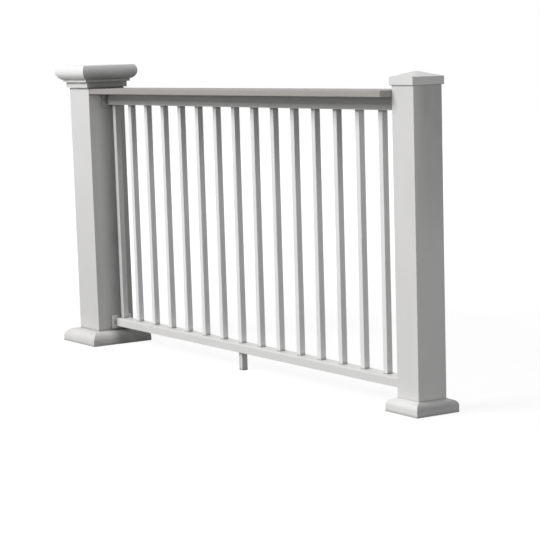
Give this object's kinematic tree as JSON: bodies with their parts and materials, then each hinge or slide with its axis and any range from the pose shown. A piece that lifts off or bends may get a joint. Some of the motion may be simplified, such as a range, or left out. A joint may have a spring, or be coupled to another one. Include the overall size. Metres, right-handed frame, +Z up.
{
  "type": "aluminium railing section",
  "caption": "White railing section: square balusters between two rails under a flat board, held by a wide post with a crown cap and a narrower post with a pyramid cap.",
  "frame": {"origin": "middle of the left post's base plate, on its underside, at ground level", "axes": "+X along the railing to the right post, +Y to the back, +Z up"},
  "size_m": [2.0869, 0.239, 1.0123],
  "materials": {
    "coated_aluminium": "satin",
    "moulding": "satin",
    "board": "matte",
    "plate": "mill"
  },
  "bodies": {
    "root": {"left_base_plate": "plate", "right_base_plate": "plate", "left_post": "coated_aluminium", "right_post": "coated_aluminium", "left_skirt": "moulding", "right_skirt": "moulding", "left_crown_cap": "moulding", "right_pyramid_cap": "moulding", "top_board": "board", "top_rail": "coated_aluminium", "bottom_rail": "coated_aluminium", "bottom_left_bracket": "moulding", "bottom_right_bracket": "moulding", "top_left_bracket": "moulding", "top_right_bracket": "moulding", "foot_block": "moulding", "baluster_01": "coated_aluminium", "baluster_02": "coated_aluminium", "baluster_03": "coated_aluminium", "baluster_04": "coated_aluminium", "baluster_05": "coated_aluminium", "baluster_06": "coated_aluminium", "baluster_07": "coated_aluminium", "baluster_08": "coated_aluminium", "baluster_09": "coated_aluminium", "baluster_10": "coated_aluminium", "baluster_11": "coated_aluminium", "baluster_12": "coated_aluminium", "baluster_13": "coated_aluminium", "baluster_14": "coated_aluminium", "baluster_15": "coated_aluminium"}
  },
  "joints": []
}
